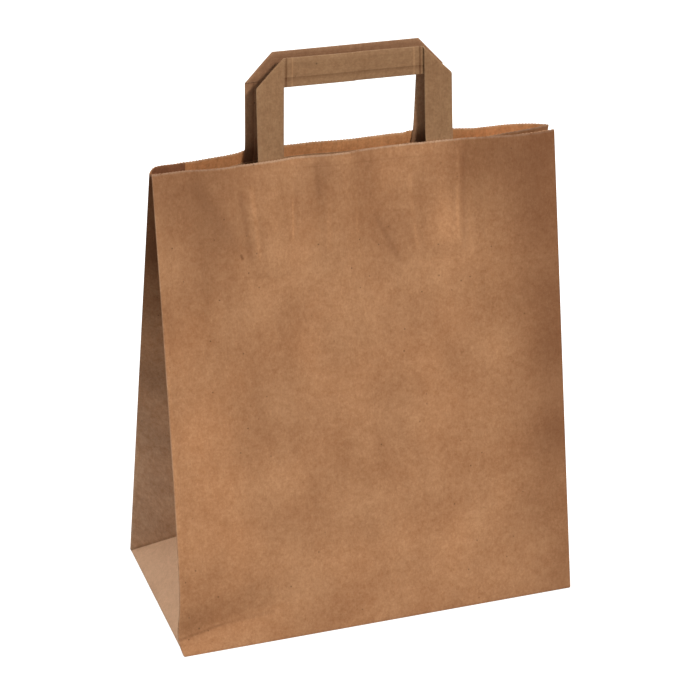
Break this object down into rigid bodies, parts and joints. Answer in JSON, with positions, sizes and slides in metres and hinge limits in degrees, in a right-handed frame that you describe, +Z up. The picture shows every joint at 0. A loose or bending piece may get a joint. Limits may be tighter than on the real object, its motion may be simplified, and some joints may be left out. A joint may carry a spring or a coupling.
{
  "type": "paper carrier bag",
  "caption": "Brown kraft paper carrier bag, opened on its flat block bottom, with folded-in side gussets, a toothed open mouth and flat folded-paper handles glued inside.",
  "frame": {"origin": "middle of the underside of the opened bottom, on the surface that the bag stands on", "axes": "+X along the bag's width, to the right seen from the front; +Y from the front panel to the rear panel; +Z up towards the mouth"},
  "size_m": [0.26, 0.138, 0.3581],
  "materials": {
    "kraft_sheet": "rough brown kraft paper with fine vertical fibre ribs and dark flecks",
    "kraft_handle": "folded kraft tape in several plies, smooth and slightly greyer than the bag",
    "kraft_patch": "kraft paper patch glued over the handle legs"
  },
  "bodies": {
    "root": {"bag_body": "kraft_sheet", "front_handle": "kraft_handle", "rear_handle": "kraft_handle", "front_patch": "kraft_patch", "rear_patch": "kraft_patch"}
  },
  "joints": []
}
